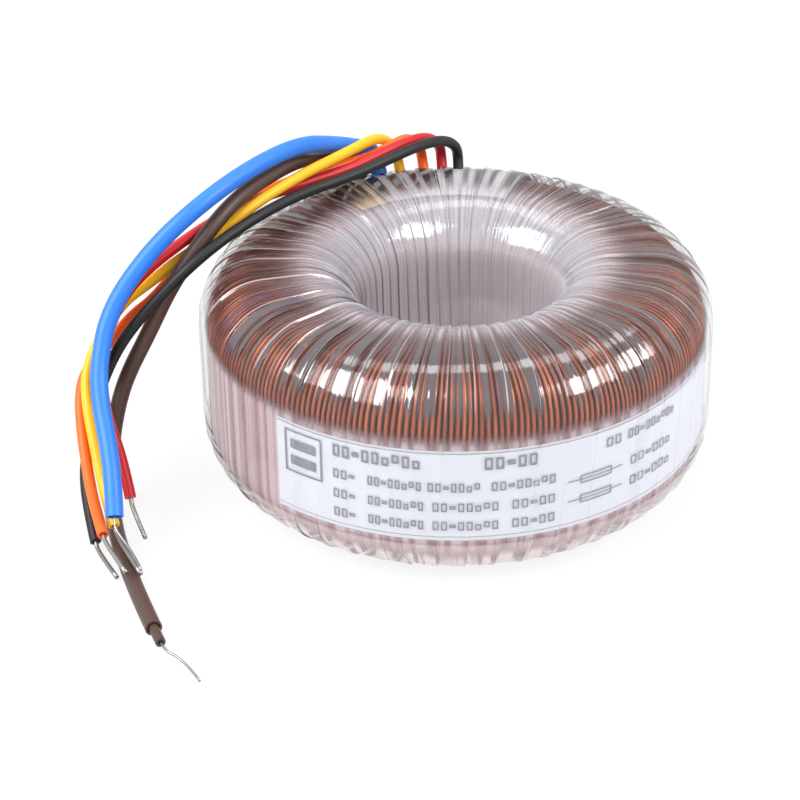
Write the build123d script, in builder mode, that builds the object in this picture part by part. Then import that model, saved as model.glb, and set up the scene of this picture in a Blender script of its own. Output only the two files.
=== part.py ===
"""Toroidal mains transformer with six flying leads.

The ring stands on its flat underside with its axis along +Z. The origin is at
the middle of the underside, the label faces -Y and the leads leave at +Y.
"""
from math import atan, cos, degrees, pi, radians, sin, tan
import os

from build123d import *

os.makedirs("parts", exist_ok=True)

# ---- overall ring, over the outer film (mm) ----
ring_diameter = 105.0
ring_height = 46.0
bore_diameter = 38.8
outer_corner = 13.0     # rounding between the top or bottom and the outer wall
bore_corner = 12.2      # rounding between the top or bottom and the bore

# ---- overlapping turns of the outer film ----
film_turns = 54
film_step = 0.35        # each turn stands proud of the next by this much
film_wall = 0.9         # at the proud edges
film_corner = 11.0      # how far its shoulders reach along the flats, outside
film_bore_corner = 10.4     # and in the bore
film_shoulder_bulge = 0.24  # height of a shoulder's arc over its chord, as a share of that reach
film_deck = 0.6         # thickness over the flat top and bottom
film_bore_wall = 1.2

# ---- layers under the film, each with its own thickness ----
film_pocket = 0.5       # room between the two films for the label and the pads
inner_film_wall = 0.3
layer_gap = 0.1
secondary_b_wall = 1.05
secondary_b_bunches = 40
secondary_b_ridge = 0.25
bunch_crest_share = 0.86    # of each bunch's width that stands at its full height
secondary_a_wall = 1.05
winding_insulation_wall = 0.2
primary_wall = 1.2
core_insulation_wall = 0.6
core_corner = 6.0

# ---- label ----
label_thickness = 0.13
label_bottom = 11.5
label_top = 31.4
label_start = -132.0    # degrees about +Z; -90 faces -Y
label_end = -10.0
label_gap = 0.12

# ---- pads under the film where the leads leave ----
pad_thickness = 0.28
pad_inner_radius = 30.0
pad_lowest = 28.0
pad_a_start, pad_a_end = 70.0, 95.9
pad_b_start, pad_b_end = 96.3, 118.5
tape_start, tape_end = 119.0, 131.0
tape_thickness = 0.15
band_overcut = 1.0      # degrees that the cut under a strip runs past each of its ends

# ---- leads ----
thin_sleeve_diameter = 2.3
thin_sleeve_bore = 1.3
thin_wire_diameter = 0.9
brown_sleeve_diameter = 3.3
brown_sleeve_bore = 2.5
blue_sleeve_diameter = 3.6
blue_sleeve_bore = 2.7
inner_sleeve_diameter = 2.0
inner_sleeve_bore = 1.0
fine_wire_diameter = 0.5
lead_hole_gap = 0.2     # between a sleeve and the edge of its hole, all round
lead_hole_reach = 3.6   # how far a hole's cutter goes out through the film
wire_lead_out = 2.5     # straight wire past the sleeve before it bends
brown_inner_lead_out = 4.8
blue_inner_setback = 1.6

# ---- derived radii and heights ----
ring_radius = ring_diameter / 2
bore_radius = bore_diameter / 2
pocket_inset = film_wall
inner_film_inset = pocket_inset + film_pocket
secondary_b_inset = inner_film_inset + inner_film_wall + layer_gap
secondary_a_inset = secondary_b_inset + secondary_b_wall + layer_gap
insulation_inset = secondary_a_inset + secondary_a_wall + layer_gap
primary_inset = insulation_inset + winding_insulation_wall + layer_gap
core_insulation_inset = primary_inset + primary_wall + layer_gap
core_inset = core_insulation_inset + core_insulation_wall + layer_gap


bore_build = film_bore_wall - film_wall     # the layers lie this much deeper in the bore
deck_build = film_wall - film_deck          # and this much nearer the surface on the decks


def radial_plane(angle=0.0):
    """Upright plane through the ring's axis, turned from +X about +Z."""
    turn = radians(angle)
    return Plane(origin=(0, 0, 0), x_dir=(cos(turn), sin(turn), 0), z_dir=(sin(turn), -cos(turn), 0))


def rounded_section(inner, outer, low, high, outer_round, inner_round, angle=0.0, back=0.0):
    """Half section of a ring with its own rounding on the outer side and in the bore.

    Sections are made before the block of the piece that uses them.
    """
    with BuildSketch(radial_plane(angle).offset(-back)) as section:
        with BuildLine():
            Polyline((inner, low), (outer, low), (outer, high), (inner, high), close=True)
        make_face()
        fillet(section.vertices().group_by(Axis.X)[-1], outer_round)
        fillet(section.vertices().group_by(Axis.X)[0], inner_round)
    return section.sketch


def layer_section(inset, angle=0.0):
    """Half section of the ring as it is under this much of the outer wall."""
    return rounded_section(bore_radius + inset + bore_build, ring_radius - inset,
                           inset - deck_build, ring_height - inset + deck_build,
                           outer_corner - inset, bore_corner - inset, angle)


def unit(vector):
    return vector / vector.length


def corner_radii(points):
    """Radius at each corner: 0.45 of the shorter run over the tangent of half the turn."""
    places = [Vector(*point) for point in points]
    radii = []
    for before, here, after in zip(places, places[1:], places[2:]):
        arriving = here - before
        leaving = after - here
        half_turn = radians(arriving.get_angle(leaving)) / 2
        radii.append(0.45 * min(arriving.length, leaving.length) / tan(half_turn))
    return radii


def lead_path(points, radii):
    with BuildLine() as route:
        FilletPolyline(*points, radius=radii)
    return route.wires()[0]


def tube_along(path, diameter, hole=0.0):
    """Swept tube, or solid round wire where hole is 0."""
    with BuildPart() as tube:
        with BuildSketch(Plane(origin=path @ 0, z_dir=path % 0)):
            Circle(diameter / 2)
            if hole > 0:
                Circle(hole / 2, mode=Mode.SUBTRACT)
        sweep(path=path)
    return tube.part


def finish(part, name):
    part.label = name
    export_step(part, f"parts/{name}.step")
    print(f"{name}: {part.volume:.1f} mm3")


# ---- the ring that the leads' points were set round; the leads stretch with it ----
route_ring_diameter = 105.0
route_ring_height = 46.0
plan_stretch = ring_diameter / route_ring_diameter
rise_stretch = ring_height / route_ring_height


def around_ring(points):
    """Points of a lead, stretched in plan and in height as the ring is."""
    return [(x * plan_stretch, y * plan_stretch, z * rise_stretch) for x, y, z in points]


# ---- routes of the leads, from the shoulder of the ring to the cut end of each sleeve ----
blue_route = around_ring([
    (-16.5, 44.9, 41.6), (-17.3, 47.2, 44.1), (-18.3, 46.3, 48), (-20.5, 42, 50.5),
    (-25, 36, 54), (-32.5, 25.5, 59), (-42, 13.5, 59), (-51.5, 1.5, 56.5),
    (-61, -3.5, 49), (-69, -10.5, 39.5), (-71, -17, 30.5), (-70.5, -22, 25),
    (-68.5, -28.5, 20), (-67, -35, 14.5), (-66.5, -40, 9.5),
])
brown_route = around_ring([
    (-20.5, 43.2, 41.6), (-21.6, 45.4, 44.1), (-22.8, 44, 47), (-25.5, 39.5, 49.8),
    (-30, 34, 51.3), (-33.5, 26.5, 54.8), (-42, 13, 55), (-47, 5.5, 53),
    (-51.5, 0.5, 48.5), (-57.5, -2.5, 40.5), (-62, -6.5, 32), (-67, -9.5, 23),
    (-69, -13, 16.5), (-70, -16, 10), (-70, -20.5, 4.5), (-69, -27, 2),
    (-66.8, -36.5, 1.8), (-63.6, -46.5, 1.8), (-60.2, -56.5, 1.8), (-56.5, -66, 1.8),
])
yellow_route = around_ring([
    (-12, 46.3, 41.6), (-12.7, 48.7, 44.1), (-13.4, 47.5, 47.8), (-15.5, 44.3, 51.5),
    (-18, 39.9, 53.4), (-22.5, 32.5, 54), (-32.5, 20.5, 54), (-42, 10, 52),
    (-49, 5, 47.5), (-56, 1.9, 44.3), (-61.5, -0.5, 40.5), (-67.5, -3, 37),
    (-72, -7.5, 31), (-74.5, -11.5, 26), (-74, -17, 22), (-72, -24, 17),
    (-69.7, -31, 11), (-67, -38, 6),
])
orange_route = around_ring([
    (-7, 47.3, 41.6), (-7.4, 49.8, 44.1), (-8, 48.6, 48), (-10.5, 45.5, 51.3),
    (-14, 41.3, 51.2), (-18, 37.7, 50.3), (-23, 34.3, 50.3), (-32.5, 27, 50.5),
    (-42, 19.5, 50), (-51.5, 8.5, 45), (-57, 3, 40.8), (-61.5, -1, 36.5),
    (-66, -2.5, 33.5), (-70, -4.5, 29), (-74.5, -8, 25), (-76, -12.5, 22),
    (-75, -20, 17), (-73, -28, 11), (-71, -35, 8.3), (-68.7, -41.8, 6.5),
])
red_route = around_ring([
    (-3, 47.7, 41.6), (-3.2, 50.2, 44.1), (-3.6, 49.3, 48), (-6.5, 46, 51.3),
    (-11, 40.5, 52.3), (-16, 35.5, 52), (-22.5, 30, 51), (-32.5, 22.5, 51),
    (-42, 15, 51), (-51.5, 5.5, 49.5), (-61.5, -1.5, 44.5), (-67, -5, 39.5),
    (-70.5, -10.5, 32.5), (-71, -15.5, 26), (-69.5, -21, 20), (-66.5, -25.5, 14.5),
    (-64.5, -31, 8),
])
black_route = around_ring([
    (0.5, 47.8, 41.6), (0.5, 50.3, 44.1), (0, 49, 47.8), (-3, 45.5, 50.8),
    (-8.5, 38.5, 52.3), (-14.5, 32.5, 52), (-22.5, 26, 51), (-32.5, 18, 51),
    (-42, 5.5, 51), (-51.5, -4, 47.5), (-61.5, -7, 38), (-66.5, -9.5, 32.5),
    (-70, -10.5, 26.5), (-72.5, -13.5, 20.5), (-74, -18.5, 14), (-74.5, -24, 9),
    (-73, -31, 5), (-71, -37.5, 2),
])

# ---- where each bare wire goes past its sleeve ----
blue_tail = around_ring([(-62.5, -47, 6.3), (-60, -53, 6)])
brown_tail = around_ring([(-51.6, -74.2, 1.6), (-48.7, -77.4, 1.2), (-46.6, -81, 1.0)])
yellow_tail = around_ring([(-60.5, -51, 3.7)])
orange_tail = around_ring([(-63.1, -52.5, 5)])
red_tail = around_ring([(-61, -38.5, 3.5)])
black_tail = around_ring([(-65.5, -49, 1.5)])

sleeve_sizes = {
    "blue": (blue_route, blue_sleeve_diameter, blue_sleeve_bore),
    "brown": (brown_route, brown_sleeve_diameter, brown_sleeve_bore),
    "yellow": (yellow_route, thin_sleeve_diameter, thin_sleeve_bore),
    "orange": (orange_route, thin_sleeve_diameter, thin_sleeve_bore),
    "red": (red_route, thin_sleeve_diameter, thin_sleeve_bore),
    "black": (black_route, thin_sleeve_diameter, thin_sleeve_bore),
}

# ---- sleeves ----
sleeve_paths = {}
sleeve_radii = {}
for colour, (route, diameter, hole) in sleeve_sizes.items():
    sleeve_radii[colour] = corner_radii(route)
    sleeve_paths[colour] = lead_path(route, sleeve_radii[colour])
    sleeve = tube_along(sleeve_paths[colour], diameter, hole)
    length = sleeve_paths[colour].length
    expected = length * pi * (diameter**2 - hole**2) / 4
    print(f"{colour}: length {length:.1f}, volume ratio {sleeve.volume / expected:.4f}, radii",
          " ".join(f"{radius:.1f}" for radius in sleeve_radii[colour]))
    finish(sleeve, f"{colour}_sleeve")


def wire_along(colour, tail, lead_out, diameter, hole=0.0):
    """Wire or inner sleeve on the same middle line as its sleeve, then out past its end."""
    route = sleeve_sizes[colour][0]
    end = Vector(*route[-1])
    direction = unit(end - Vector(*route[-2]))
    bend = end + direction * lead_out
    points = route[:-1] + [tuple(bend)] + tail
    radii = list(sleeve_radii[colour])
    if tail:
        past = [tuple(end), tuple(bend)] + tail
        radii = radii + corner_radii(past)
    return tube_along(lead_path(points, radii), diameter, hole)


# ---- wires of the four thin leads ----
for colour, tail in {
    "yellow": yellow_tail,
    "orange": orange_tail,
    "red": red_tail,
    "black": black_tail,
}.items():
    finish(wire_along(colour, tail, wire_lead_out, thin_wire_diameter), f"{colour}_wire")

# ---- inner sleeves and fine wires of the two thick leads ----
finish(wire_along("brown", [], brown_inner_lead_out, inner_sleeve_diameter, inner_sleeve_bore),
       "brown_inner_sleeve")
finish(wire_along("brown", brown_tail, brown_inner_lead_out + wire_lead_out, fine_wire_diameter),
       "brown_wire")
finish(wire_along("blue", [], -blue_inner_setback, inner_sleeve_diameter, inner_sleeve_bore),
       "blue_inner_sleeve")
finish(wire_along("blue", blue_tail, wire_lead_out, fine_wire_diameter), "blue_wire")

# ---- cutters for the holes where the leads come through the film and pads ----
with BuildPart() as lead_cutters:
    for colour, (route, diameter, hole) in sleeve_sizes.items():
        first = Vector(*route[0])
        outward = unit(Vector(*route[1]) - first)
        with BuildSketch(Plane(origin=first - outward * film_pocket, z_dir=outward)):
            Circle(diameter / 2 + lead_hole_gap)
        extrude(amount=film_pocket + lead_hole_reach)

# ---- outer film: flat turns, each tilted a little, then a true bore and a smooth inside ----
half_turn_angle = radians(180 / film_turns)
turn_reach = ring_radius * tan(half_turn_angle)
turn_tilt = degrees(atan(film_step / (2 * turn_reach)))
turn_outer = ring_radius * cos(half_turn_angle) - film_step / 2
turn_inner = bore_radius - film_step / 2
outer_shoulder = turn_outer - film_corner
bore_shoulder = turn_inner + film_bore_corner
outer_bulge = film_corner * film_shoulder_bulge
bore_bulge = film_bore_corner * film_shoulder_bulge
film_inside = layer_section(pocket_inset)

# The shoulders meet the flats at a slight crease, so that the step between two turns
# starts at its full width and never thins to nothing.
with BuildPart() as turn_prism:
    with BuildSketch(radial_plane().offset(-2 * turn_reach)):
        with BuildLine():
            Line((turn_inner, film_bore_corner), (turn_inner, ring_height - film_bore_corner))
            SagittaArc((turn_inner, ring_height - film_bore_corner), (bore_shoulder, ring_height), bore_bulge)
            Line((bore_shoulder, ring_height), (outer_shoulder, ring_height))
            SagittaArc((outer_shoulder, ring_height), (turn_outer, ring_height - film_corner), outer_bulge)
            Line((turn_outer, ring_height - film_corner), (turn_outer, film_corner))
            SagittaArc((turn_outer, film_corner), (outer_shoulder, 0), outer_bulge)
            Line((outer_shoulder, 0), (bore_shoulder, 0))
            SagittaArc((bore_shoulder, 0), (turn_inner, film_bore_corner), bore_bulge)
        make_face()
    extrude(amount=4 * turn_reach)

turn_axis = Axis((ring_radius - film_wall, 0, 0), (0, 0, 1))
tilted_prism = turn_prism.part.rotate(turn_axis, turn_tilt)
wedge_reach = ring_radius + film_corner
wedge_half = wedge_reach * tan(half_turn_angle)
with BuildPart() as film_turn:
    add(tilted_prism)
    with BuildSketch():
        with BuildLine():
            Polyline((0, 0), (wedge_reach, -wedge_half), (wedge_reach, wedge_half), close=True)
        make_face()
    extrude(amount=ring_height, mode=Mode.INTERSECT)

with BuildPart() as outer_film:
    with PolarLocations(0, film_turns):
        add(film_turn.part)
    with BuildSketch():
        Circle(bore_radius)
    extrude(amount=ring_height, mode=Mode.SUBTRACT)
    revolve(film_inside, axis=Axis.Z, mode=Mode.SUBTRACT)
    add(lead_cutters.part, mode=Mode.SUBTRACT)
finish(outer_film.part, "outer_film")

# ---- inner film ----
inner_film_outside = layer_section(inner_film_inset)
inner_film_inside = layer_section(inner_film_inset + inner_film_wall)
with BuildPart() as inner_film:
    revolve(inner_film_outside, axis=Axis.Z)
    revolve(inner_film_inside, axis=Axis.Z, mode=Mode.SUBTRACT)
finish(inner_film.part, "inner_film")

# ---- outer secondary: flat-topped bunches of wires with grooves between them ----
bunch_half_angle = radians(180 / secondary_b_bunches)
bunch_radius = (ring_radius - secondary_b_inset) * cos(bunch_half_angle)
bunch_reach = ring_radius * tan(bunch_half_angle)


def bunch_section(depth):
    """Half section of a bunch, this deep under its crest, set back by its reach."""
    return rounded_section(bore_radius + secondary_b_inset + bore_build + depth, bunch_radius - depth,
                           secondary_b_inset - deck_build + depth,
                           ring_height - secondary_b_inset + deck_build - depth,
                           outer_corner - secondary_b_inset - depth,
                           bore_corner - secondary_b_inset - depth, back=bunch_reach)


def bunch_wedge(share):
    """Triangle from the axis outwards that holds this share of a bunch's width."""
    half = ring_radius * tan(bunch_half_angle * share)
    with BuildSketch() as wedge:
        with BuildLine():
            Polyline((0, 0), (ring_radius, -half), (ring_radius, half), close=True)
        make_face()
    return wedge.sketch


floor_section = bunch_section(secondary_b_ridge)
crest_section = bunch_section(0)
floor_wedge = bunch_wedge(1.0)
crest_wedge = bunch_wedge(bunch_crest_share)
winding_b_inside = layer_section(secondary_b_inset + secondary_b_wall)

with BuildPart() as bunch_floor:
    extrude(floor_section, amount=bunch_reach * 2)
    extrude(floor_wedge, amount=ring_height, mode=Mode.INTERSECT)

with BuildPart() as bunch_crest:
    extrude(crest_section, amount=bunch_reach * 2)
    extrude(crest_wedge, amount=ring_height, mode=Mode.INTERSECT)

with BuildPart() as secondary_winding_b:
    with PolarLocations(0, secondary_b_bunches):
        add(bunch_floor.part)
        add(bunch_crest.part)
    revolve(winding_b_inside, axis=Axis.Z, mode=Mode.SUBTRACT)
finish(secondary_winding_b.part, "secondary_winding_b")

# ---- inner secondary ----
secondary_winding_a_outside = layer_section(secondary_a_inset)
secondary_winding_a_inside = layer_section(secondary_a_inset + secondary_a_wall)
with BuildPart() as secondary_winding_a:
    revolve(secondary_winding_a_outside, axis=Axis.Z)
    revolve(secondary_winding_a_inside, axis=Axis.Z, mode=Mode.SUBTRACT)
finish(secondary_winding_a.part, "secondary_winding_a")

# ---- insulation between the windings ----
winding_insulation_outside = layer_section(insulation_inset)
winding_insulation_inside = layer_section(insulation_inset + winding_insulation_wall)
with BuildPart() as winding_insulation:
    revolve(winding_insulation_outside, axis=Axis.Z)
    revolve(winding_insulation_inside, axis=Axis.Z, mode=Mode.SUBTRACT)
finish(winding_insulation.part, "winding_insulation")

# ---- primary ----
primary_winding_outside = layer_section(primary_inset)
primary_winding_inside = layer_section(primary_inset + primary_wall)
with BuildPart() as primary_winding:
    revolve(primary_winding_outside, axis=Axis.Z)
    revolve(primary_winding_inside, axis=Axis.Z, mode=Mode.SUBTRACT)
finish(primary_winding.part, "primary_winding")

# ---- core and its wrapping ----
core_inner = bore_radius + core_inset + bore_build
core_outer = ring_radius - core_inset
core_low = core_inset - deck_build
core_high = ring_height - core_low
wrapping_outside = layer_section(core_insulation_inset)
wrapping_inside = rounded_section(core_inner - layer_gap, core_outer + layer_gap,
                                  core_low - layer_gap, core_high + layer_gap,
                                  core_corner + layer_gap, core_corner + layer_gap)
core_section = rounded_section(core_inner, core_outer, core_low, core_high, core_corner, core_corner)

with BuildPart() as core_insulation:
    revolve(wrapping_outside, axis=Axis.Z)
    revolve(wrapping_inside, axis=Axis.Z, mode=Mode.SUBTRACT)
finish(core_insulation.part, "core_insulation")

with BuildPart() as core:
    revolve(core_section, axis=Axis.Z)
finish(core.part, "core")

# ---- label, between the two films ----
label_radius = ring_radius - inner_film_inset + label_gap
with BuildPart() as label:
    with BuildSketch(radial_plane(label_start)):
        with BuildLine():
            Polyline((label_radius, label_bottom), (label_radius + label_thickness, label_bottom),
                     (label_radius + label_thickness, label_top), (label_radius, label_top), close=True)
        make_face()
    revolve(axis=Axis.Z, revolution_arc=label_end - label_start)
finish(label.part, "label")

# ---- strips of sheet over the top outer shoulder, where the leads leave ----
strip_inset = inner_film_inset - layer_gap
strip_height = ring_height - pad_lowest
with BuildSketch(Plane.XY.offset(pad_lowest)) as strip_zone:
    Circle(ring_radius)
    Circle(pad_inner_radius, mode=Mode.SUBTRACT)


def strip_sections(start, thickness):
    """Outer and inner half sections of a strip that begins at this angle."""
    return layer_section(strip_inset - thickness, start), layer_section(strip_inset, start - band_overcut)


pad_a_outside, pad_a_inside = strip_sections(pad_a_start, pad_thickness)
pad_b_outside, pad_b_inside = strip_sections(pad_b_start, pad_thickness)
tape_outside, tape_inside = strip_sections(tape_start, tape_thickness)
pad_a_arc = pad_a_end - pad_a_start
pad_b_arc = pad_b_end - pad_b_start
tape_arc = tape_end - tape_start

with BuildPart() as lead_pad_a:
    revolve(pad_a_outside, axis=Axis.Z, revolution_arc=pad_a_arc)
    revolve(pad_a_inside, axis=Axis.Z, revolution_arc=pad_a_arc + 2 * band_overcut, mode=Mode.SUBTRACT)
    extrude(strip_zone.sketch, amount=strip_height, mode=Mode.INTERSECT)
    add(lead_cutters.part, mode=Mode.SUBTRACT)
finish(lead_pad_a.part, "lead_pad_a")

with BuildPart() as lead_pad_b:
    revolve(pad_b_outside, axis=Axis.Z, revolution_arc=pad_b_arc)
    revolve(pad_b_inside, axis=Axis.Z, revolution_arc=pad_b_arc + 2 * band_overcut, mode=Mode.SUBTRACT)
    extrude(strip_zone.sketch, amount=strip_height, mode=Mode.INTERSECT)
    add(lead_cutters.part, mode=Mode.SUBTRACT)
finish(lead_pad_b.part, "lead_pad_b")

with BuildPart() as edge_tape:
    revolve(tape_outside, axis=Axis.Z, revolution_arc=tape_arc)
    revolve(tape_inside, axis=Axis.Z, revolution_arc=tape_arc + 2 * band_overcut, mode=Mode.SUBTRACT)
    extrude(strip_zone.sketch, amount=strip_height, mode=Mode.INTERSECT)
finish(edge_tape.part, "edge_tape")
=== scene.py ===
# %% [markdown]
# # A toroidal mains transformer, dressed
#
# The solids of this part are already packed: a steel ring, its windings, two clear
# films, a label and six flying leads. This lesson gives them their looks. Some solids
# keep their shape and only get a finish. Others, such as the winding that shows through
# the film, are stood in for by finer pieces made here.

import math

import bmesh
import bpy
from mathutils import Matrix, Vector, noise


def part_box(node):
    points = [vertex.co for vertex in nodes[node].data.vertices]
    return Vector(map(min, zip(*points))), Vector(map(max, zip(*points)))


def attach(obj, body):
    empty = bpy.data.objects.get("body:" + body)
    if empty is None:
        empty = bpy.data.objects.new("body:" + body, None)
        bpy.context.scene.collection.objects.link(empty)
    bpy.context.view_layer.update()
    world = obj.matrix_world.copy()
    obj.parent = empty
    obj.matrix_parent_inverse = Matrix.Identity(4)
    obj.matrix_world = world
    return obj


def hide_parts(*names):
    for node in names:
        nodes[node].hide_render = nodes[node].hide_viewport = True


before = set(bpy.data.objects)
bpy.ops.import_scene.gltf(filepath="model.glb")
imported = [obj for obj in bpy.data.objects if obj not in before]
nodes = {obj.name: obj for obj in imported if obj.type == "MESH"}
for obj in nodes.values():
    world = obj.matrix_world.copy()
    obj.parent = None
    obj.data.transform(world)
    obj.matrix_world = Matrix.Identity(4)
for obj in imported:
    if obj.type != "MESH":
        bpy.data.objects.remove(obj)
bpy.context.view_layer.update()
scene = bpy.context.scene

# %% [markdown]
# ## The camera
#
# A product picture is taken from a little way off with a long lens, so that the ring
# keeps its true proportions. The camera stands half a metre away, 30 degrees above the
# bench, and looks at the middle of the ring. A small lens shift frames the leads too.

# %% Camera
mm = 0.001
camera_distance = 500 * mm
camera_elevation = math.radians(30)
camera_aim_height = 20 * mm
camera_target = Vector((0, 0, camera_aim_height))
camera_back = Vector((0, -math.cos(camera_elevation), math.sin(camera_elevation)))

camera_data = bpy.data.cameras.new("bench_camera")
camera_data.lens = 108.8
camera_data.sensor_width = 36
camera_data.shift_x = -0.0701
camera_data.shift_y = -0.0408
camera = bpy.data.objects.new("bench_camera", camera_data)
camera.location = camera_target + camera_back * camera_distance
camera.rotation_mode = "QUATERNION"
camera.rotation_quaternion = (-camera_back).to_track_quat("-Z", "Y")
scene.collection.objects.link(camera)
scene.camera = camera
print("camera at", [round(value, 3) for value in camera.location])

# %% [markdown]
# ## Sums on shader sockets
#
# A finish here is mostly arithmetic: this mask times that, one minus the other. Wiring
# Math nodes by hand hides the idea, so a small class wraps a socket, and writing
# `1 - mask` adds the node. `NodeBoard.node` makes every other kind of node, for a finish
# and for the world alike.


# %% A socket that can be added, multiplied and compared
class Signal:
    def __init__(self, board, socket):
        self.board = board
        self.socket = socket

    def output(self, name):
        """Another output of the same node."""
        return Signal(self.board, self.socket.node.outputs[name])

    def math(self, operation, *others):
        return self.board.node("Math", {"operation": operation}, dict(enumerate((self, *others))))

    def __add__(self, other):
        return self.math("ADD", other)

    __radd__ = __add__

    def __sub__(self, other):
        return self.math("SUBTRACT", other)

    def __rsub__(self, other):
        return self.board.node("Math", {"operation": "SUBTRACT"}, {0: other, 1: self})

    def __mul__(self, other):
        return self.math("MULTIPLY", other)

    __rmul__ = __mul__

    def __truediv__(self, other):
        return self.math("DIVIDE", other)

    def __gt__(self, other):
        return self.math("GREATER_THAN", other)

    def __lt__(self, other):
        return self.math("LESS_THAN", other)


# %% A board that nodes are put on
class NodeBoard:
    def __init__(self, owner):
        owner.use_nodes = True
        self.tree = owner.node_tree
        self.tree.nodes.clear()

    def node(self, kind, settings=None, inputs=None, output=0):
        """Adds a node: its settings first, then a value or a link for each socket.

        It gives back one output as a Signal, or the node itself where output is None.
        """
        made = self.tree.nodes.new("ShaderNode" + kind)
        for key, value in (settings or {}).items():
            setattr(made, key, value)
        for key, value in (inputs or {}).items():
            if isinstance(value, Signal):
                self.tree.links.new(value.socket, made.inputs[key])
            else:
                made.inputs[key].default_value = value
        return made if output is None else Signal(self, made.outputs[output])

    def seen_directly(self):
        """1 for what the camera sees, also in a reflection or through the clear film, else 0."""
        rays = self.node("LightPath")
        seen = rays.output("Is Camera Ray").math("MAXIMUM", rays.output("Is Glossy Ray"))
        return seen.math("MAXIMUM", rays.output("Is Transmission Ray"))


# %% A finish, which is one material with one main shader
class Finish(NodeBoard):
    def __init__(self, name, **constants):
        self.material = bpy.data.materials.new(name)
        super().__init__(self.material)
        self.place = self.node("TexCoord").output("Object")
        self.shader = self.node("BsdfPrincipled")
        for socket_name, value in constants.items():
            self.feed(socket_name.replace("_", " "), value)
        self.closing = self.node("OutputMaterial", inputs={"Surface": self.shader}, output=None)

    def feed(self, socket_name, value):
        """Links a signal, or sets a constant, on the main shader."""
        socket = self.shader.socket.node.inputs[socket_name]
        if isinstance(value, Signal):
            self.tree.links.new(value.socket, socket)
        elif isinstance(value, tuple) and len(value) == 3:
            socket.default_value = (*value, 1.0)
        else:
            socket.default_value = value

    def attribute(self, name):
        """A number that the mesh carries at each of its points."""
        return self.node("Attribute", {"attribute_name": name}).output("Fac")

    def noise(self, scale, detail=2.0, stretch=(1.0, 1.0, 1.0)):
        """Smooth noise from 0 to 1 over the piece's own place, in blobs 1/scale metres wide."""
        place = self.node("Mapping", inputs={"Vector": self.place, "Scale": stretch})
        return self.node("TexNoise", inputs={"Vector": place, "Scale": scale, "Detail": detail})

    def streaks(self, line, scale, detail=2.0):
        """Noise along one number, such as an angle, so that it runs in stripes."""
        return self.node("TexNoise", {"noise_dimensions": "1D"},
                         {"W": line, "Scale": scale, "Detail": detail})

    def ease(self, value, start, end):
        """0 at start, 1 at end and smooth between them."""
        return self.node("MapRange", {"interpolation_type": "SMOOTHSTEP"},
                         {"Value": value, "From Min": start, "From Max": end})

    def blend(self, mask, low, high):
        """Colour low where the mask is 0 and high where it is 1."""
        low, high = [(*colour, 1.0) if isinstance(colour, tuple) else colour for colour in (low, high)]
        return self.node("Mix", {"data_type": "RGBA"}, {0: mask, 6: low, 7: high}, output=2)

    def bump(self, height, strength, distance):
        return self.node("Bump", inputs={"Height": height, "Strength": strength, "Distance": distance})

    def ring_place(self):
        """Radius and height in millimetres, and angle in radians, of a place on the ring."""
        parts = self.node("SeparateXYZ", inputs={0: self.place})
        east, north, height = parts.output("X"), parts.output("Y"), parts.output("Z")
        return (east * east + north * north).math("SQRT") / mm, height / mm, north.math("ARCTAN2", east)


# %% Bodies and slots
def dress(piece, finish, stands_for=()):
    """Gives a new piece its finish, hangs it on the root body and hides the solids it stands for."""
    piece.data.materials.clear()
    piece.data.materials.append(finish.material)
    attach(piece, "root")
    if stands_for:
        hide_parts(*stands_for)


def refinish(node_name, finish):
    """Gives a solid that stays a better finish on its own slots."""
    piece = nodes[node_name]
    if not piece.material_slots:
        piece.data.materials.append(finish.material)
    for material_slot in piece.material_slots:
        material_slot.link = "OBJECT"
        material_slot.material = finish.material


def piece_from(bm, name):
    """A bmesh becomes an object at the origin."""
    mesh = bpy.data.meshes.new(name)
    bm.to_mesh(mesh)
    bm.free()
    piece = bpy.data.objects.new(name, mesh)
    scene.collection.objects.link(piece)
    print(name, len(mesh.vertices), "points,", len(mesh.polygons), "faces")
    return piece
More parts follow.
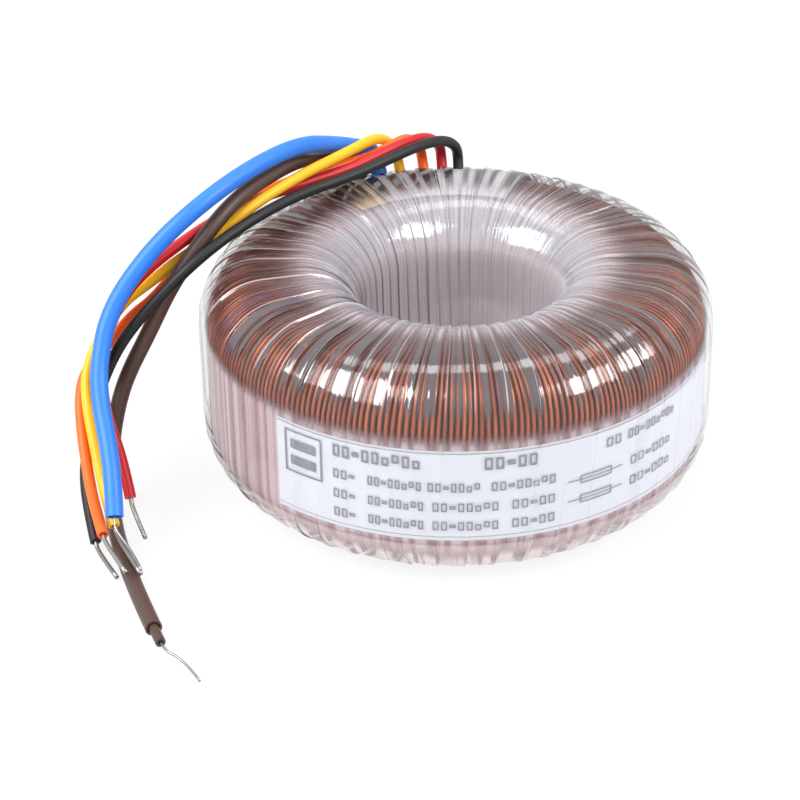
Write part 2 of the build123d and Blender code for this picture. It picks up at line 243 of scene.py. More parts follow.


# %% [markdown]
# ## The six flying leads
#
# Each lead is plastic sleeving over a wire. Its route is a short list of given points,
# and a smooth spline runs near them, as a stiff sleeve bends. They come first,
# because if they did not fit, the solids would have to move.

# %% Routes of the leads, from the shoulder of the ring to the cut end of each sleeve
lead_routes = {
    "blue": [
        (-16.5, 44.9, 41.6), (-17.3, 47.2, 44.1), (-18.3, 46.3, 48), (-20.5, 42, 50.5),
        (-25, 36, 54), (-32.5, 25.5, 59), (-42, 13.5, 59), (-51.5, 1.5, 56.5),
        (-61, -3.5, 49), (-69, -10.5, 39.5), (-71, -17, 30.5), (-70.5, -22, 25),
        (-68.5, -28.5, 20), (-67, -35, 14.5), (-66.5, -40, 9.5),
    ],
    "brown": [
        (-20.5, 43.2, 41.6), (-21.6, 45.4, 44.1), (-22.8, 44, 47), (-25.5, 39.5, 49.8),
        (-30, 34, 51.3), (-33.5, 26.5, 54.8), (-42, 13, 55), (-47, 5.5, 53),
        (-51.5, 0.5, 48.5), (-57.5, -2.5, 40.5), (-62, -6.5, 32), (-67, -9.5, 23),
        (-69, -13, 16.5), (-70, -16, 10), (-70, -20.5, 4.5), (-69, -27, 2),
        (-66.8, -36.5, 1.8), (-63.6, -46.5, 1.8), (-60.2, -56.5, 1.8), (-56.5, -66, 1.8),
    ],
    "yellow": [
        (-12, 46.3, 41.6), (-12.7, 48.7, 44.1), (-13.4, 47.5, 47.8), (-15.5, 44.3, 51.5),
        (-18, 39.9, 53.4), (-22.5, 32.5, 54), (-32.5, 20.5, 54), (-42, 10, 52),
        (-49, 5, 47.5), (-56, 1.9, 44.3), (-61.5, -0.5, 40.5), (-67.5, -3, 37),
        (-72, -7.5, 31), (-74.5, -11.5, 26), (-74, -17, 22), (-72, -24, 17),
        (-69.7, -31, 11), (-67, -38, 6),
    ],
    "orange": [
        (-7, 47.3, 41.6), (-7.4, 49.8, 44.1), (-8, 48.6, 48), (-10.5, 45.5, 51.3),
        (-14, 41.3, 51.2), (-18, 37.7, 50.3), (-23, 34.3, 50.3), (-32.5, 27, 50.5),
        (-42, 19.5, 50), (-51.5, 8.5, 45), (-57, 3, 40.8), (-61.5, -1, 36.5),
        (-66, -2.5, 33.5), (-70, -4.5, 29), (-74.5, -8, 25), (-76, -12.5, 22),
        (-75, -20, 17), (-73, -28, 11), (-71, -35, 8.3), (-68.7, -41.8, 6.5),
    ],
    "red": [
        (-3, 47.7, 41.6), (-3.2, 50.2, 44.1), (-3.6, 49.3, 48), (-6.5, 46, 51.3),
        (-11, 40.5, 52.3), (-16, 35.5, 52), (-22.5, 30, 51), (-32.5, 22.5, 51),
        (-42, 15, 51), (-51.5, 5.5, 49.5), (-61.5, -1.5, 44.5), (-67, -5, 39.5),
        (-70.5, -10.5, 32.5), (-71, -15.5, 26), (-69.5, -21, 20), (-66.5, -25.5, 14.5),
        (-64.5, -31, 8),
    ],
    "black": [
        (0.5, 47.8, 41.6), (0.5, 50.3, 44.1), (0, 49, 47.8), (-3, 45.5, 50.8),
        (-8.5, 38.5, 52.3), (-14.5, 32.5, 52), (-22.5, 26, 51), (-32.5, 18, 51),
        (-42, 5.5, 51), (-51.5, -4, 47.5), (-61.5, -7, 38), (-66.5, -9.5, 32.5),
        (-70, -10.5, 26.5), (-72.5, -13.5, 20.5), (-74, -18.5, 14), (-74.5, -24, 9),
        (-73, -31, 5), (-71, -37.5, 2),
    ],
}
lead_tails = {
    "blue": [(-62.5, -47, 6.3), (-60, -53, 6)],
    "brown": [(-51.6, -74.2, 1.6), (-48.7, -77.4, 1.2), (-46.6, -81, 1.0)],
    "yellow": [(-60.5, -51, 3.7)],
    "orange": [(-63.1, -52.5, 5)],
    "red": [(-61, -38.5, 3.5)],
    "black": [(-65.5, -49, 1.5)],
}
thick_leads = {"blue": (3.6, 2.7), "brown": (3.3, 2.5)}     # sleeve and its hole
thin_lead = (2.3, 1.3)
inner_sleeve = (2.0, 1.0)
inner_sleeve_reach = {"blue": -1.6, "brown": 4.8}   # how far its end lies past the sleeve's end
inner_sleeve_start = 3.0                            # and how far back inside the sleeve it begins
thin_wire_diameter = 0.9
fine_wire_diameter = 0.5
straight_wire = 2.5                                 # bare wire before its first bend
merge_distance = 0.001 * mm


# %% [markdown]
# A NURBS curve of order 3 follows the route smoothly, and its bevel gives a round tube.
# Turned into a mesh, the tube is open at both ends, and a wall is added inwards, so the
# cut end shows a hole with the wire in it.


# %% Tubes along a route
sharp_rim_angle = math.radians(50)
tip_rounding = 0.28                                 # of the wire's diameter


def smooth_line(points, diameter=0.0, capped=False):
    """Mesh of a NURBS curve through the route, with a round bevel where diameter is given."""
    curve = bpy.data.curves.new("lead_line", "CURVE")
    curve.dimensions = "3D"
    curve.resolution_u = 8
    spline = curve.splines.new("NURBS")
    spline.points.add(len(points) - 1)
    for target, place in zip(spline.points, points):
        target.co = (*(Vector(place) * mm), 1.0)
    spline.order_u = 3
    spline.use_endpoint_u = True
    curve.bevel_depth = diameter / 2 * mm
    curve.bevel_resolution = 6
    curve.use_fill_caps = capped
    holder = bpy.data.objects.new("lead_line", curve)
    mesh = bpy.data.meshes.new_from_object(holder)
    bpy.data.objects.remove(holder)
    bpy.data.curves.remove(curve)
    return mesh


def sleeve_piece(name, points, diameter, hole):
    """Hollow sleeve along a route, with its cut ends closed by a flat rim."""
    bm = bmesh.new()
    bm.from_mesh(smooth_line(points, diameter))
    bmesh.ops.remove_doubles(bm, verts=bm.verts[:], dist=merge_distance)
    bmesh.ops.recalc_face_normals(bm, faces=bm.faces[:])
    bmesh.ops.solidify(bm, geom=bm.faces[:], thickness=(diameter - hole) / 2 * mm)
    for face in bm.faces:
        face.smooth = True
    for edge in bm.edges:
        edge.smooth = edge.calc_face_angle(0) < sharp_rim_angle
    return piece_from(bm, name)


def wire_piece(name, points, diameter):
    """Solid wire along its points, with its tips rounded off."""
    bm = bmesh.new()
    bm.from_mesh(smooth_line(points, diameter, capped=True))
    bmesh.ops.remove_doubles(bm, verts=bm.verts[:], dist=merge_distance)
    bmesh.ops.recalc_face_normals(bm, faces=bm.faces[:])
    caps = [face for face in bm.faces if len(face.verts) > 4]
    rims = list({edge for face in caps for edge in face.edges})
    bmesh.ops.bevel(bm, geom=rims, offset=tip_rounding * diameter * mm, segments=3, profile=0.5,
                    affect="EDGES", material=-1)
    for face in bm.faces:
        face.smooth = True
    return piece_from(bm, name)


# %% [markdown]
# Sleeving is soft vinyl: one colour all through, a satin skin with faint lengthwise
# unevenness, and slightly duller patches where it has been handled.


# %% Vinyl sleeving and tinned wire
def vinyl(name, colour, shade, roughness=0.34):
    finish = Finish(name, IOR=1.45)
    patches = finish.noise(140, 3)
    grain = finish.noise(2600, 2)
    finish.feed("Base Color", finish.blend(patches * 0.55, colour, shade))
    finish.feed("Roughness", roughness + patches * 0.16)
    finish.feed("Normal", finish.bump(grain * 0.4 + patches, 0.25, 0.05 * mm))
    return finish


def tinned(name):
    finish = Finish(name, Metallic=1.0)
    dull = finish.noise(900, 3)
    rings = finish.noise(4200, 1)
    finish.feed("Base Color", finish.blend(dull, (0.40, 0.39, 0.375), (0.22, 0.215, 0.21)))
    finish.feed("Roughness", 0.24 + dull * 0.22)
    finish.feed("Normal", finish.bump(rings, 0.1, 0.03 * mm))
    return finish


vinyls = {
    "blue": vinyl("blue_vinyl", (0.022, 0.185, 0.72), (0.014, 0.135, 0.60)),
    "brown": vinyl("brown_vinyl", (0.075, 0.038, 0.028), (0.050, 0.024, 0.018)),
    "yellow": vinyl("yellow_vinyl", (0.90, 0.49, 0.01), (0.80, 0.38, 0.005)),
    "orange": vinyl("orange_vinyl", (0.93, 0.14, 0.01), (0.82, 0.10, 0.005)),
    "red": vinyl("red_vinyl", (0.52, 0.006, 0.012), (0.38, 0.004, 0.01)),
    "black": vinyl("black_vinyl", (0.003, 0.003, 0.004), (0.006, 0.006, 0.007), 0.42),
}
tinned_wire = tinned("tinned_wire")

# %% Make every lead
for colour, route in lead_routes.items():
    thick = colour in thick_leads
    diameter, hole = thick_leads.get(colour, thin_lead)
    end = Vector(route[-1])
    onward = (end - Vector(route[-2])).normalized()
    sleeve = sleeve_piece(f"{colour}_lead", route, diameter, hole)
    dress(sleeve, vinyls[colour], [f"{colour}_sleeve"])

    reach = inner_sleeve_reach.get(colour, 0.0)
    wire_bend = end + onward * (max(reach, 0.0) + straight_wire)
    wire_points = [route[-2], route[-1], tuple(wire_bend), *lead_tails[colour]]
    wire_diameter = fine_wire_diameter if thick else thin_wire_diameter
    wire = wire_piece(f"{colour}_conductor", wire_points, wire_diameter)
    dress(wire, tinned_wire, [f"{colour}_wire"])

    if thick:
        liner_points = [route[-2], tuple(end - onward * inner_sleeve_start), tuple(end + onward * reach)]
        liner = sleeve_piece(f"{colour}_liner", liner_points, *inner_sleeve)
        dress(liner, vinyls[colour], [f"{colour}_inner_sleeve"])

    path = [tuple(vertex.co) for vertex in smooth_line(route).vertices]

# %% [markdown]
# ## The rounded ring
#
# The windings and the film share one form: a rectangle with rounded corners, spun round
# the axis. `rounded_ring` makes it with a vertex bevel and a spin. Whatever stands out
# of that form, a wire or a turn of film, is then a small move along `outward`, which
# points straight out of the rounded surface at any place.

# %% Sizes of the ring, in metres
film_low, film_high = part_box("outer_film")
ring_radius = (film_high[1] - film_low[1]) / 2
ring_height = film_high[2]
bore_radius = 19.4 * mm
outer_corner = 13.0 * mm
bore_corner = 12.2 * mm
middle_radius = (ring_radius + bore_radius) / 2
same_place = 0.01 * mm
longest_corner_step = 3.5 * mm                      # a longer edge of the section is straight
straight_cuts = 5
print("ring", round(ring_radius, 4), "high", round(ring_height, 4))


# %% A spun ring with rounded corners
def rounded_ring(inset, corner_segments, steps):
    """Closed rounded ring this far under the film's surface, in even steps of angle."""
    bm = bmesh.new()
    inner, outer = bore_radius + inset, ring_radius - inset
    low, high = inset, ring_height - inset
    corners = [bm.verts.new(place) for place in
               ((outer, 0, low), (outer, 0, high), (inner, 0, high), (inner, 0, low))]
    bm.faces.new(corners)
    bmesh.ops.bevel(bm, geom=corners[:2], offset=outer_corner - inset, segments=corner_segments,
                    profile=0.5, affect="VERTICES", material=-1)
    bore_corners = [vert for vert in bm.verts if vert.co.x < inner + same_place]
    bmesh.ops.bevel(bm, geom=bore_corners, offset=bore_corner - inset, segments=corner_segments,
                    profile=0.5, affect="VERTICES", material=-1)
    straights = [edge for edge in bm.edges if edge.calc_length() > longest_corner_step]
    bmesh.ops.subdivide_edges(bm, edges=straights, cuts=straight_cuts)
    bmesh.ops.delete(bm, geom=bm.faces[:], context="FACES_ONLY")
    bmesh.ops.spin(bm, geom=bm.verts[:] + bm.edges[:], cent=(0, 0, 0), axis=(0, 0, 1),
                   dvec=(0, 0, 0), angle=math.tau, steps=steps, use_merge=True)
    bmesh.ops.recalc_face_normals(bm, faces=bm.faces[:])
    return bm


def outward(place):
    """Direction straight out of the ring's rounded surface at a place near it."""
    radius = math.hypot(place.x, place.y)
    spoke = Vector((place.x / radius, place.y / radius, 0))
    corner = outer_corner if radius > middle_radius else bore_corner
    nearest_radius = min(max(radius, bore_radius + bore_corner), ring_radius - outer_corner)
    nearest_height = min(max(place.z, corner), ring_height - corner)
    return (place - spoke * nearest_radius - Vector((0, 0, nearest_height))).normalized()


def section_phase(place):
    """Angle round the ring's own section, 0 on the outer wall and positive on top."""
    return math.atan2(place.z - ring_height / 2, math.hypot(place.x, place.y) - middle_radius)


def turned(place, angle):
    """The place, moved round the ring's axis."""
    return Matrix.Rotation(angle, 3, "Z") @ place


def hashed(number, seed=0.0):
    """A fixed value from -1 to 1 for each whole number."""
    return noise.noise(Vector((number * 7.31 + 0.37, seed * 3.17 + 0.21, 0.53)))


def store(piece, name, values):
    """Keeps one number per point on the mesh, for its finish to read."""
    layer = piece.data.attributes.new(name, "FLOAT", "POINT")
    layer.data.foreach_set("value", values)


# %% [markdown]
# ## The copper that shows
#
# The outer winding has some 260 enamelled wires side by side, in bunches. Each wire is
# four columns of the spun ring: one down in the groove, two on its flanks and one on its
# crest. A little noise in height and angle keeps the wires from lying like a comb.

# %% Outer winding
wires_in_bunch = 9
bunches = 29
wire_count = bunches * wires_in_bunch
column_drops = (0.46 * mm, 0.07 * mm, 0.0, 0.07 * mm)   # groove, flank, crest, flank
# How near the crest each column lies; the finish paints shade into the grooves by it.
column_crests = (0.0, 0.5, 1.0, 0.5)                    # how near the crest, for the finish
wire_columns = len(column_drops)
bunch_end_drop = 0.16 * mm                              # deeper groove between two bunches
wire_unevenness = 0.24 * mm
wire_wander, bunch_wander, winding_slant = 0.30, 0.9, 0.8   # degrees
middle_tone = 0.446
winding_inset = 1.86 * mm
winding_corner_steps = 8


def winding_move(place, column):
    """Where a point of the spun ring goes to become part of a wire."""
    wire, part = divmod(column, wire_columns)
    between_bunches = wire % wires_in_bunch == 0 and part == 0
    drop = column_drops[part] + (bunch_end_drop if between_bunches else 0)
    drop += wire_unevenness * (1 + hashed(wire, 1)) / 2
    phase = section_phase(place)
    wander = noise.noise(Vector((wire * 0.37, phase * 1.6, 0.2))) * wire_wander
    wander += noise.noise(Vector((column / wire_count * 5, phase * 0.8, 4.1))) * bunch_wander
    slant = winding_slant * math.sin(phase)
    return turned(place - outward(place) * drop, math.radians(wander + slant))


def column_of(place, columns):
    """Number of the spun column that a place belongs to."""
    return round(math.atan2(place.y, place.x) % math.tau / math.tau * columns) % columns


winding_columns = wire_count * wire_columns
ring = rounded_ring(winding_inset, winding_corner_steps, winding_columns)
crests, tones = [], []
for vert in ring.verts:
    column = column_of(vert.co, winding_columns)
    crests.append(column_crests[column % wire_columns])
    tones.append(middle_tone + 0.5 * hashed(column // wire_columns, 2))
    vert.co = winding_move(vert.co, column)
bmesh.ops.recalc_face_normals(ring, faces=ring.faces[:])
for face in ring.faces:
    face.smooth = True
copper_turns = piece_from(ring, "copper_turns")
store(copper_turns, "crest", crests)
store(copper_turns, "tone", tones)


# %% Enamelled copper, with painted shade in the grooves between wires
def enamelled_copper(name, bright, deep, groove_shade):
    finish = Finish(name, Metallic=0.75, IOR=1.5)
    age = finish.noise(90, 3)
    crest = finish.attribute("crest")
    tone = finish.attribute("tone")
    body = finish.blend(tone * 0.7 + age * 0.3, deep, bright)
    # Painted shade: the grooves between wires go near black, and only the crests show the copper's own
    # colour.
    clear_of_groove_shade = finish.ease(crest, 0.10, 0.95)
    finish.feed("Base Color", finish.blend(clear_of_groove_shade, groove_shade, body))
    finish.feed("Roughness", 0.30 + age * 0.15)
    return finish


# The last colour is the painted shade in the grooves.
enamel = enamelled_copper("enamelled_copper", (1.0, 0.33, 0.15), (0.46, 0.085, 0.045),
                          groove_shade=(0.022, 0.008, 0.006))
dress(copper_turns, enamel, ["secondary_winding_b"])

# %% [markdown]
# ## The label
#
# A strip of pale paper lies round the front of the winding, between the two films. It is
# spun from an upright edge in flat steps, since the turns under it are flat, and a wall
# gives it thickness. Its print is only generic: a frame with a plain mark, rows of small
# open boxes in groups, and two outlined boxes with a thin line through each.

# %% Label
label_low, label_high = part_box("label")
label_bottom, label_top = label_low[2] / mm, label_high[2] / mm
label_start, label_end = -132, -10                  # degrees
label_radius = 51.24 * mm
label_thickness = 0.1 * mm
label_steps = 22


def curved_patch(bm, start, end, bottom, top, radius, steps):
    """Upright edge spun between two angles in degrees, with heights in millimetres."""
    edge_ends = [bm.verts.new(turned(Vector((radius, 0, height * mm)), math.radians(start)))
                 for height in (bottom, top)]
    edge = bm.edges.new(edge_ends)
    bmesh.ops.spin(bm, geom=[*edge_ends, edge], cent=(0, 0, 0), axis=(0, 0, 1), dvec=(0, 0, 0),
                   angle=math.radians(end - start), steps=steps)


label_mesh = bmesh.new()
curved_patch(label_mesh, label_start, label_end, label_bottom, label_top, label_radius, label_steps)
bmesh.ops.recalc_face_normals(label_mesh, faces=label_mesh.faces[:])
bmesh.ops.solidify(label_mesh, geom=label_mesh.faces[:], thickness=label_thickness)
wrap_label = piece_from(label_mesh, "wrap_label")

border_lines = ((30.7, 30.95), (12.2, 12.4))        # heights in millimetres
paper = Finish("label_paper", Roughness=0.55, IOR=1.45)
fibres = paper.noise(900, 4, (1, 1, 3))
cloudy = paper.noise(60, 2)
radius, height, angle = paper.ring_place()
near_border = sum((height > low) * (height < high) for low, high in border_lines)
paper_colour = paper.blend(cloudy * 0.6 + fibres * 0.4, (0.56, 0.57, 0.63), (0.62, 0.63, 0.69))
paper.feed("Base Color", paper.blend(near_border * 0.8, paper_colour, (0.20, 0.19, 0.21)))
paper.feed("Normal", paper.bump(fibres, 0.15, 0.02 * mm))
dress(wrap_label, paper, ["label"])

# %% Print on the label: groups of small open boxes
print_radius = 51.42 * mm
ink_thickness = 0.02 * mm
headline_height = 2.5
headline_line, small_line = 0.42, 0.27
frame_line, fuse_line, rule_line = 0.35, 0.25, 0.2
box_groups = [
    # start and end in degrees, bottom and top in millimetres, boxes, share of the pitch
    (-117.0, -97.0, 27.3, 29.9, 9, 0.72), (-84.0, -72.0, 27.3, 29.9, 5, 0.72),
    (-117.0, -111.5, 22.5, 24.4, 3, 0.70), (-109.0, -97.0, 22.5, 24.4, 8, 0.70),
    (-96.0, -84.5, 22.5, 24.4, 7, 0.70), (-82.5, -68.0, 22.5, 24.4, 8, 0.70),
    (-117.0, -111.5, 18.1, 20.0, 3, 0.70), (-109.0, -96.5, 18.1, 20.0, 8, 0.70),
    (-95.0, -80.5, 18.1, 20.0, 8, 0.70), (-78.0, -68.0, 18.1, 20.0, 5, 0.70),
    (-117.0, -111.5, 13.9, 15.8, 3, 0.70), (-109.0, -96.5, 13.9, 15.8, 8, 0.70),
    (-95.0, -80.5, 13.9, 15.8, 8, 0.70), (-78.0, -68.0, 13.9, 15.8, 5, 0.70),
    (-56.0, -51.5, 27.0, 29.0, 2, 0.70), (-50.0, -34.0, 27.0, 29.0, 9, 0.70),
    (-49.0, -35.0, 20.8, 22.7, 6, 0.70), (-49.0, -35.0, 16.2, 18.1, 6, 0.70),
]
print_mesh = bmesh.new()


def printed_frame(start, end, bottom, top, width):
    """Outline of a box; its line is this wide in millimetres."""
    line_angle = math.degrees(width * mm / print_radius)
    curved_patch(print_mesh, start, end, bottom, bottom + width, print_radius, 3)
    curved_patch(print_mesh, start, end, top - width, top, print_radius, 3)
    curved_patch(print_mesh, start, start + line_angle, bottom + width, top - width, print_radius, 1)
    curved_patch(print_mesh, end - line_angle, end, bottom + width, top - width, print_radius, 1)


for group_start, group_end, bottom, top, count, share in box_groups:
    pitch = (group_end - group_start) / count
    line = headline_line if top - bottom > headline_height else small_line
    for number in range(count):
        start = group_start + number * pitch
        notch = 0.30 * (top - bottom) * (number * 5 % 3 == 1)
        foot = 0.30 * (top - bottom) * (number * 7 % 4 == 2)
        printed_frame(start, start + pitch * share, bottom + foot, top - notch, line)

printed_frame(-129.6, -119.8, 20.4, 29.8, frame_line)
for bottom, top in ((22.2, 24.2), (25.8, 27.8)):
    curved_patch(print_mesh, -128.0, -121.4, bottom, top, print_radius, 2)
for bottom, top in ((20.8, 22.6), (16.4, 18.2)):
    printed_frame(-62.5, -54.5, bottom, top, fuse_line)
for bottom in (21.6, 17.2):
    curved_patch(print_mesh, -65.5, -51.5, bottom, bottom + rule_line, print_radius, 4)
bmesh.ops.recalc_face_normals(print_mesh, faces=print_mesh.faces[:])
bmesh.ops.solidify(print_mesh, geom=print_mesh.faces[:], thickness=ink_thickness)
label_print = piece_from(print_mesh, "label_print")

ink = Finish("label_ink", IOR=1.45)
worn = ink.noise(500, 3)
ink.feed("Base Color", ink.blend(worn, (0.13, 0.13, 0.15), (0.24, 0.24, 0.27)))
ink.feed("Roughness", 0.5 + worn * 0.2)
dress(label_print, ink)

# %% [markdown]
# ## The outer film
#
# Clear polyester tape is wound round the ring in overlapping flat turns. Every turn ends
# in a thin edge that stands proud of the next, and those edges fan out from the hole like
# spokes. Five columns of the spun ring make one turn: it rises slowly to its edge and
# drops at once. Near the hole the turns lie many deep, so the film is milky there. Further
# out on the deck the film is darkened in streaks, a painted reflection of a dark room.

# %% Film turns
film_turns = 54
film_columns = (0.0, 0.32, 0.64, 0.955, 0.985)
film_step = 0.35 * mm
film_chord = ring_radius * (1 - math.cos(math.pi / film_turns))
turn_unevenness, film_creases = 0.16 * mm, 0.10 * mm
turn_wander, edge_waviness, film_slant = 0.9, 0.5, 1.4      # degrees
film_corner_steps = 14
crease_angle = math.radians(18)


def film_move(place, turn, column):
    """Where a point of the spun ring goes to become part of a turn of film."""
    share = film_columns[column]
    phase = section_phase(place)
    even = column / len(film_columns)
    drop = film_step * (1 - share / film_columns[-1])
    drop += film_chord * (1 - (2 * share - 1) ** 2) * math.hypot(place.x, place.y) / ring_radius
    drop += turn_unevenness * (1 + hashed(turn, 5)) / 2
    drop += film_creases * (1 + noise.noise(Vector((turn * 1.7 + share, phase * 2.2, 1.3)))) / 2
    wander = turn_wander * hashed(turn, 6)
    wander += edge_waviness * noise.noise(Vector((turn * 0.61, phase * 0.9, 7.7)))
    slant = film_slant * math.sin(phase)
    angle = math.radians((share - even) * 360 / film_turns + wander + slant)
    return turned(place - outward(place) * drop, angle)


film_count = film_turns * len(film_columns)
edge_column = len(film_columns) - 1
ring = rounded_ring(0.0, film_corner_steps, film_count)
# Each turn gets an edge mark and a weight for its painted dark reflection: random by turn, and higher on
# the low part of the turn.
edges, turn_dark_reflections = [], []
for vert in ring.verts:
    turn, part = divmod(column_of(vert.co, film_count), len(film_columns))
    edges.append(1.0 if part == edge_column else 0.0)
    turn_dark_reflections.append(0.5 + 0.5 * hashed(turn, 8) + (0.25 if part < 2 else 0.0))
    vert.co = film_move(vert.co, turn, part)
bmesh.ops.recalc_face_normals(ring, faces=ring.faces[:])
for face in ring.faces:
    face.smooth = True
for edge in ring.edges:
    edge.smooth = edge.calc_face_angle(0) < crease_angle
film_wrap = piece_from(ring, "film_wrap")
store(film_wrap, "edge", edges)
store(film_wrap, "dark_reflection_weight", turn_dark_reflections)

# %% Clear film that turns milky where it lies deep, with a painted dark reflection on the outer deck
# The label under the film, each side as the start and end of a soft edge
label_left, label_right = (-2.32, -2.30), (-0.18, -0.17)    # radians
label_foot, label_head = (11.2, 11.8), (31.2, 31.8)         # millimetres
# The dark film colour is a painted reflection of a dark room, seen where the film is clear.
film_dark_reflection, film_over_label = (0.040, 0.028, 0.034), (0.50, 0.51, 0.56)
film_milk, film_milk_by_bore, film_milk_in_bore = (0.66, 0.54, 0.56), (0.44, 0.44, 0.49), (0.50, 0.44, 0.47)
film = Finish("clear_film", IOR=2.3)                # high, as many layers reflect together
radius, height, angle = film.ring_place()
fine_streaks = film.ease(film.streaks(angle, 34, 3), 0.40, 0.62)
panel_streaks = film.ease(film.streaks(angle, 17, 2), 0.46, 0.57)
clouds = film.noise(70, 3)
edge_line = film.ease(film.attribute("edge"), 0.30, 0.95)
toward_bore = 1 - film.ease(radius, 22, 39)
in_bore = 1 - film.ease(radius, 20.5, 23)
on_wall = film.ease(radius, 49.5, 51.8)
under_label = 1 - film.ease(height, 10.2, 11.6)
on_label = film.ease(angle, *label_left) * (1 - film.ease(angle, *label_right))
on_label = on_label * film.ease(height, *label_foot) * (1 - film.ease(height, *label_head)) * on_wall
lip = toward_bore * (0.46 + 0.34 * fine_streaks) + in_bore * 0.26
milk = lip + clouds * 0.05 + edge_line * 0.50 * (1 - on_wall * 0.8) + under_label * 0.35
milk = (milk * (1 - on_label)).math("MINIMUM", 0.9)
# Painted reflection: the outer part of the deck is darkened in streaks, panel by panel, as clear film that
# reflects a dark room. The shade below is this painted reflection.
shade = film.ease(radius, 28, 40) * (1 - on_wall) * (0.02 + 0.74 * panel_streaks) * (1 - edge_line)
shade = shade * (0.6 + 0.8 * film.attribute("dark_reflection_weight"))
milk_colour = film.blend(toward_bore, film_milk, film_milk_by_bore)
milk_colour = film.blend(in_bore, milk_colour, film_milk_in_bore)
# Base colour: milky film near the hole, painted dark reflection where the film is clear.
milk_and_dark_reflection = film.blend(film.ease(milk, 0.06, 0.45), film_dark_reflection, milk_colour)
film.feed("Base Color", film.blend(on_label, milk_and_dark_reflection, film_over_label))
film.feed("Alpha", (0.13 + milk * 0.76 + shade * (1 - on_label)).math("MINIMUM", 0.93))
film.feed("Roughness", 0.05 + clouds * 0.05 + edge_line * 0.08)
film.feed("Normal", film.bump(fine_streaks + clouds * 0.6, 0.2, 0.10 * mm))
dress(film_wrap, film, ["outer_film"])

# %% [markdown]
# ## Solids that keep their shape
#
# The inner film, the pads and the hidden layers are right as solids. They only get a
# finish: a clear film, grey fish paper, a strip of cream tape, and below them enamelled
# wire, polyester wrapping and the wound strip of the core.

# %% Inner film
under_film = Finish("inner_clear_film", IOR=1.5)
radius, height, angle = under_film.ring_place()
stripes = under_film.ease(under_film.streaks(angle, 22, 3), 0.36, 0.64)
on_wall = under_film.ease(radius, 47.5, 50.8) * (1 - under_film.ease(height, 31, 35))
toward_bore = 1 - under_film.ease(radius, 24, 46)
deck_colour = under_film.blend(toward_bore, (0.22, 0.17, 0.18), (0.42, 0.36, 0.40))
wall_colour = under_film.blend(stripes, (0.56, 0.37, 0.39), (0.76, 0.64, 0.67))
under_film.feed("Base Color", under_film.blend(on_wall, deck_colour, wall_colour))
under_film.feed("Alpha", 0.06 + on_wall * (0.42 + 0.22 * stripes) + toward_bore * (0.22 + 0.30 * stripes))
under_film.feed("Roughness", 0.14 + stripes * 0.1)
refinish("inner_film", under_film)


# %% Pads, tape and hidden layers
def sheet_finish(name, pale, dark, roughness, scale, stretch=(1, 1, 1)):
    finish = Finish(name, IOR=1.45)
    fibre = finish.noise(scale, 4, stretch)
    blotch = finish.noise(80, 2)
    finish.feed("Base Color", finish.blend(fibre * 0.6 + blotch * 0.4, pale, dark))
    finish.feed("Roughness", roughness + fibre * 0.15)
    finish.feed("Normal", finish.bump(fibre, 0.3, 0.05 * mm))
    return finish


def wound_finish(name, bright, deep, wires):
    """Wires round a hidden winding, as stripes by angle, with painted shade between the wires."""
    finish = Finish(name, Metallic=0.85)
    radius, height, angle = finish.ring_place()
    ridge = ((angle * (wires / math.tau)).math("FRACT") * math.pi).math("SINE")
    # Painted shade: the deep colour lies in the grooves between wires, the bright one on their tops.
    finish.feed("Base Color", finish.blend(ridge, deep, bright))
    finish.feed("Roughness", 0.34 + ridge * 0.08)
    finish.feed("Normal", finish.bump(ridge, 0.6, 0.3 * mm))
    return finish


fish_paper = sheet_finish("fish_paper", (0.62, 0.62, 0.64), (0.42, 0.42, 0.45), 0.55, 700, (1, 1, 4))
refinish("lead_pad_a", fish_paper)
refinish("lead_pad_b", fish_paper)
refinish("edge_tape", sheet_finish("cream_tape", (0.66, 0.55, 0.30), (0.50, 0.38, 0.18), 0.4, 500))
wrap_cream = (0.80, 0.72, 0.52)
refinish("winding_insulation", sheet_finish("winding_wrap", wrap_cream, (0.66, 0.56, 0.36), 0.3, 300))
refinish("core_insulation", sheet_finish("core_wrap", wrap_cream, (0.62, 0.52, 0.34), 0.3, 240))
refinish("secondary_winding_a", wound_finish("second_copper", (0.80, 0.28, 0.14), (0.10, 0.03, 0.02), 280))
refinish("primary_winding", wound_finish("primary_copper", (0.72, 0.25, 0.13), (0.09, 0.03, 0.02), 620))

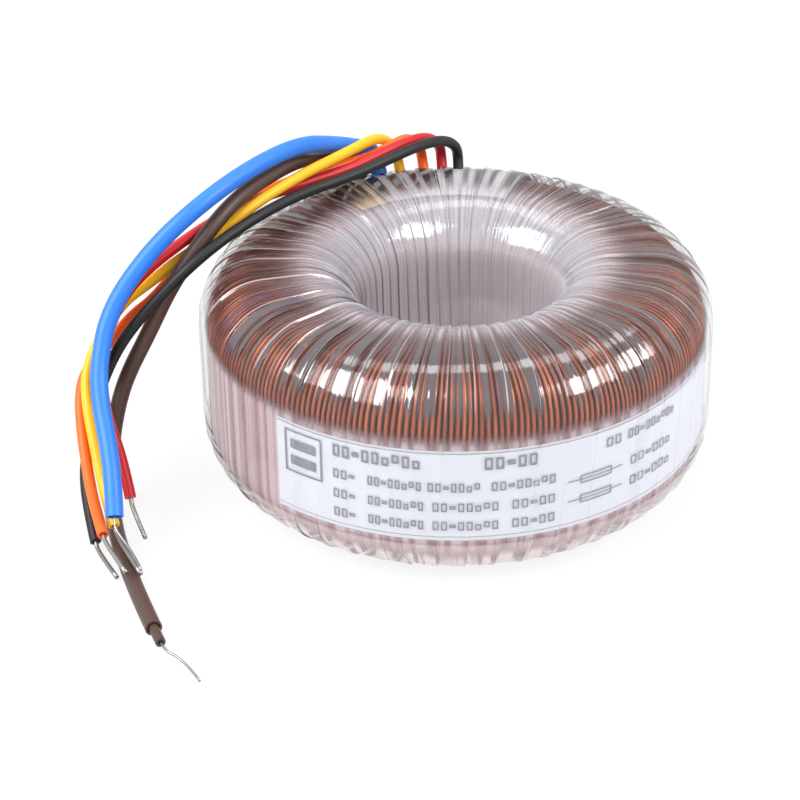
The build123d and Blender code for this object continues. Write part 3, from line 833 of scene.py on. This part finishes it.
strip_thickness = 0.3                               # millimetres
core_steel = Finish("wound_strip_steel", Metallic=1.0)
radius, height, angle = core_steel.ring_place()
strip = ((radius / strip_thickness).math("FRACT") * math.pi).math("SINE")
core_steel.feed("Base Color", core_steel.blend(strip, (0.22, 0.23, 0.25), (0.52, 0.53, 0.70)))
core_steel.feed("Roughness", 0.45 - strip * 0.12)
refinish("core", core_steel)

# %% [markdown]
# ## Bench and light
#
# A pale bench, a soft box on each side and a dim one overhead suit a glossy wrap: the side
# boxes leave white highlights on the shoulders. To the camera and in reflections the bench
# is nearly pure white, while the shadow of the ring still falls on it.


# %% Bench
white = (1.0, 1.0, 1.0, 1.0)
bench_radius = 6.0
bench_glow = 0.86                                   # the rest of what is seen is shaded paint


def bench():
    bm = bmesh.new()
    bmesh.ops.create_circle(bm, cap_ends=True, radius=bench_radius, segments=48)
    floor = piece_from(bm, "bench")
    finish = Finish("bench_white", Roughness=0.8)
    finish.feed("Base Color", (0.90, 0.90, 0.90))
    glow = finish.node("Emission", inputs={"Color": white, "Strength": 1.0})
    share = finish.seen_directly() * bench_glow
    both = finish.node("MixShader", inputs={0: share, 1: finish.shader, 2: glow})
    finish.tree.links.new(both.socket, finish.closing.inputs["Surface"])
    floor.data.materials.append(finish.material)


bench()


# %% World and soft boxes, with places and sizes in metres and power in watts
def soft_box(name, place, size, power):
    light = bpy.data.lights.new(name, "AREA")
    light.shape = "RECTANGLE"
    light.size, light.size_y = size
    light.energy = power
    lamp = bpy.data.objects.new(name, light)
    lamp.location = place
    lamp.rotation_mode = "QUATERNION"
    lamp.rotation_quaternion = (camera_target - Vector(place)).to_track_quat("-Z", "Y")
    scene.collection.objects.link(lamp)


world_light = 0.62                                  # on the part; the camera sees a world of 1
world = bpy.data.worlds.new("studio")
scene.world = world
studio = NodeBoard(world)
strength = studio.node("MapRange", inputs={"Value": studio.seen_directly(), "To Min": world_light,
                                           "To Max": 1.0})
sky = studio.node("Background", inputs={"Color": white, "Strength": strength})
studio.node("OutputWorld", inputs={"Surface": sky}, output=None)

soft_box("left_box", (-0.55, -0.25, 0.62), (0.60, 0.50), 7.5)
soft_box("right_box", (0.60, -0.22, 0.60), (0.55, 0.35), 5.5)
soft_box("back_box", (0.0, 0.30, 0.95), (1.0, 0.30), 2.5)
scene.view_settings.view_transform = "Standard"
print("lights and bench are in place")
